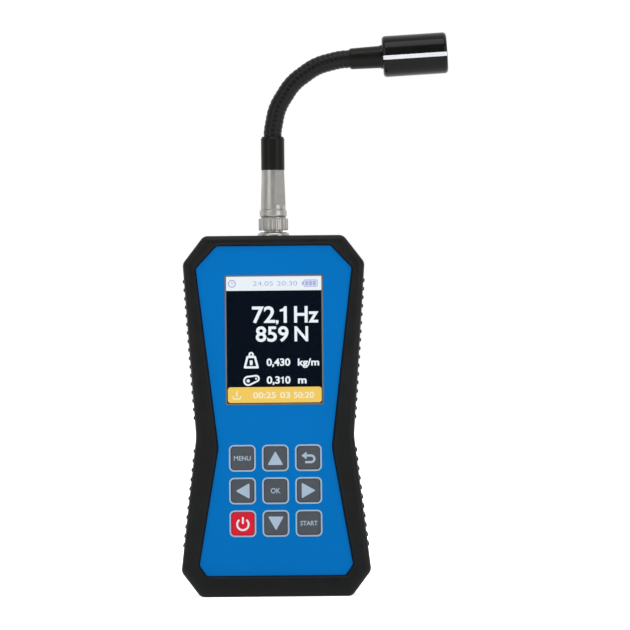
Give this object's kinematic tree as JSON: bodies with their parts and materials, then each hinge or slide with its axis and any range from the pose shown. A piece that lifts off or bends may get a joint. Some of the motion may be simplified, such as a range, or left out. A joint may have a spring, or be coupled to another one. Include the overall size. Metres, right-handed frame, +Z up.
{
  "type": "belt tension tester",
  "caption": "Handheld belt tension tester with a colour display, keypad, rubber boot and a plug-in gooseneck sensor.",
  "frame": {"origin": "middle of the flat bottom face of the rubber boot", "axes": "X to the right seen from the front, Y from the front to the back, Z up to the sensor"},
  "size_m": [0.1234, 0.038, 0.2562],
  "materials": {
    "boot_rubber": "moulded matte",
    "case_plastic": "fine texture",
    "seal_rubber": "matte",
    "screw_steel": "zinc plated",
    "overlay_blue": "satin foil",
    "window_clear": "clear",
    "screen_glass": "gloss",
    "board_green": "solder mask",
    "part_black": "matte",
    "key_grey": "satin",
    "key_red": "satin",
    "cell_jacket": "printed jacket",
    "contact_steel": "nickel plated",
    "nickel_satin": "satin nickel",
    "insert_black": "moulded",
    "contact_gold": "gold plated",
    "sleeve_rubber": "satin",
    "neck_black": "black coated",
    "head_anodised": "black anodised",
    "window_dark": "tinted",
    "diode_clear": "clear epoxy"
  },
  "bodies": {
    "housing": {"rubber_boot": "boot_rubber", "front_shell": "case_plastic", "rear_shell": "case_plastic", "case_seal": "seal_rubber", "case_screws": "screw_steel", "front_overlay": "overlay_blue", "display_window": "window_clear", "display_gasket": "seal_rubber", "display_module": "screen_glass", "main_board": "board_green", "board_screws": "screw_steel", "board_chips": "part_black", "key_switches": "part_black", "battery_cells": "cell_jacket", "battery_springs": "contact_steel", "battery_plates": "contact_steel", "socket_body": "nickel_satin", "socket_seal": "seal_rubber", "socket_nut": "nickel_satin", "socket_insert": "insert_black", "socket_pins": "contact_gold"},
    "key_menu": {"key_menu": "key_grey"},
    "key_up": {"key_up": "key_grey"},
    "key_back": {"key_back": "key_grey"},
    "key_left": {"key_left": "key_grey"},
    "key_ok": {"key_ok": "key_grey"},
    "key_right": {"key_right": "key_grey"},
    "key_power": {"key_power": "key_red"},
    "key_down": {"key_down": "key_grey"},
    "key_start": {"key_start": "key_grey"},
    "battery_door": {"battery_door": "case_plastic", "door_screw": "screw_steel"},
    "sensor_plug": {"plug_shell": "nickel_satin", "plug_insert": "insert_black", "plug_pins": "contact_gold", "lower_sleeve": "sleeve_rubber", "neck_base": "neck_black"},
    "coupling_ring": {"coupling_ring": "nickel_satin"},
    "neck_link_01": {"neck_link_01": "neck_black"},
    "neck_link_02": {"neck_link_02": "neck_black"},
    "neck_link_03": {"neck_link_03": "neck_black"},
    "neck_link_04": {"neck_link_04": "neck_black"},
    "neck_link_05": {"neck_link_05": "neck_black"},
    "neck_link_06": {"neck_link_06": "neck_black"},
    "neck_link_07": {"neck_link_07": "neck_black"},
    "neck_link_08": {"neck_link_08": "neck_black"},
    "neck_link_09": {"neck_link_09": "neck_black"},
    "neck_link_10": {"neck_link_10": "neck_black"},
    "neck_link_11": {"neck_link_11": "neck_black"},
    "sensor_head": {"neck_end": "neck_black", "upper_sleeve": "sleeve_rubber", "head_collar": "head_anodised", "head_shell": "head_anodised", "sensor_window": "window_dark", "window_ring": "head_anodised", "sensor_board": "board_green", "sensor_diodes": "diode_clear"}
  },
  "joints": [
    {"name": "press_menu", "type": "slide", "parent": "housing", "child": "key_menu", "axis": [0, 1, 0], "range_m": [0, 0.0005], "stiffness_N_per_m": 2000},
    {"name": "press_up", "type": "slide", "parent": "housing", "child": "key_up", "axis": [0, 1, 0], "range_m": [0, 0.0005], "stiffness_N_per_m": 2000},
    {"name": "press_back", "type": "slide", "parent": "housing", "child": "key_back", "axis": [0, 1, 0], "range_m": [0, 0.0005], "stiffness_N_per_m": 2000},
    {"name": "press_left", "type": "slide", "parent": "housing", "child": "key_left", "axis": [0, 1, 0], "range_m": [0, 0.0005], "stiffness_N_per_m": 2000},
    {"name": "press_ok", "type": "slide", "parent": "housing", "child": "key_ok", "axis": [0, 1, 0], "range_m": [0, 0.0005], "stiffness_N_per_m": 2000},
    {"name": "press_right", "type": "slide", "parent": "housing", "child": "key_right", "axis": [0, 1, 0], "range_m": [0, 0.0005], "stiffness_N_per_m": 2000},
    {"name": "press_power", "type": "slide", "parent": "housing", "child": "key_power", "axis": [0, 1, 0], "range_m": [0, 0.0005], "stiffness_N_per_m": 2000},
    {"name": "press_down", "type": "slide", "parent": "housing", "child": "key_down", "axis": [0, 1, 0], "range_m": [0, 0.0005], "stiffness_N_per_m": 2000},
    {"name": "press_start", "type": "slide", "parent": "housing", "child": "key_start", "axis": [0, 1, 0], "range_m": [0, 0.0005], "stiffness_N_per_m": 2000},
    {"name": "battery_door_lift", "type": "slide", "parent": "housing", "child": "battery_door", "axis": [0, 1, 0], "range_m": [0, 0.03]},
    {"name": "sensor_unplug", "type": "slide", "parent": "housing", "child": "sensor_plug", "axis": [0, 0, 1], "range_m": [0, 0.015]},
    {"name": "coupling_ring_turn", "type": "hinge", "parent": "sensor_plug", "child": "coupling_ring", "pos_m": [0, 0, 0.1692], "axis": [0, 0, 1], "continuous": true},
    {"name": "neck_bend_01", "type": "hinge", "parent": "sensor_plug", "child": "neck_link_01", "pos_m": [0, 0, 0.21142], "axis": [0, 1, 0], "range_deg": [-23.35, 1.65]},
    {"name": "neck_swing_01", "type": "hinge", "parent": "neck_link_01", "child": "neck_link_02", "pos_m": [0.00083, 0, 0.21577], "axis": [0.9821, 0, -0.1882], "range_deg": [-12.5, 12.5]},
    {"name": "neck_bend_02", "type": "hinge", "parent": "neck_link_02", "child": "neck_link_03", "pos_m": [0.00167, 0, 0.22012], "axis": [0, 1, 0], "range_deg": [-23.35, 1.65]},
    {"name": "neck_bend_03", "type": "hinge", "parent": "neck_link_03", "child": "neck_link_04", "pos_m": [0.00331, 0, 0.22424], "axis": [0, 1, 0], "range_deg": [-23.35, 1.65]},
    {"name": "neck_swing_02", "type": "hinge", "parent": "neck_link_04", "child": "neck_link_05", "pos_m": [0.00569, 0, 0.22798], "axis": [0.8429, 0, -0.538], "range_deg": [-12.5, 12.5]},
    {"name": "neck_bend_04", "type": "hinge", "parent": "neck_link_05", "child": "neck_link_06", "pos_m": [0.00808, 0, 0.23172], "axis": [0, 1, 0], "range_deg": [-23.35, 1.65]},
    {"name": "neck_bend_05", "type": "hinge", "parent": "neck_link_06", "child": "neck_link_07", "pos_m": [0.01112, 0, 0.23494], "axis": [0, 1, 0], "range_deg": [-23.35, 1.65]},
    {"name": "neck_swing_03", "type": "hinge", "parent": "neck_link_07", "child": "neck_link_08", "pos_m": [0.01472, 0, 0.23753], "axis": [0.5842, 0, -0.8116], "range_deg": [-12.5, 12.5]},
    {"name": "neck_bend_06", "type": "hinge", "parent": "neck_link_08", "child": "neck_link_09", "pos_m": [0.01832, 0, 0.24012], "axis": [0, 1, 0], "range_deg": [-23.35, 1.65]},
    {"name": "neck_bend_07", "type": "hinge", "parent": "neck_link_09", "child": "neck_link_10", "pos_m": [0.02234, 0, 0.24199], "axis": [0, 1, 0], "range_deg": [-23.35, 1.65]},
    {"name": "neck_swing_04", "type": "hinge", "parent": "neck_link_10", "child": "neck_link_11", "pos_m": [0.02664, 0, 0.24306], "axis": [0.2428, 0, -0.9701], "range_deg": [-12.5, 12.5]},
    {"name": "neck_bend_08", "type": "hinge", "parent": "neck_link_11", "child": "sensor_head", "pos_m": [0.03094, 0, 0.24414], "axis": [0, 1, 0], "range_deg": [-23.35, 1.65]}
  ],
  "couplings": [
    {"joint": "neck_bend_02", "follows": "neck_bend_01", "ratio": 1},
    {"joint": "neck_bend_03", "follows": "neck_bend_01", "ratio": 1},
    {"joint": "neck_swing_02", "follows": "neck_swing_01", "ratio": 1},
    {"joint": "neck_bend_04", "follows": "neck_bend_01", "ratio": 1},
    {"joint": "neck_bend_05", "follows": "neck_bend_01", "ratio": 1},
    {"joint": "neck_swing_03", "follows": "neck_swing_01", "ratio": 1},
    {"joint": "neck_bend_06", "follows": "neck_bend_01", "ratio": 1},
    {"joint": "neck_bend_07", "follows": "neck_bend_01", "ratio": 1},
    {"joint": "neck_swing_04", "follows": "neck_swing_01", "ratio": 1},
    {"joint": "neck_bend_08", "follows": "neck_bend_01", "ratio": 1}
  ]
}
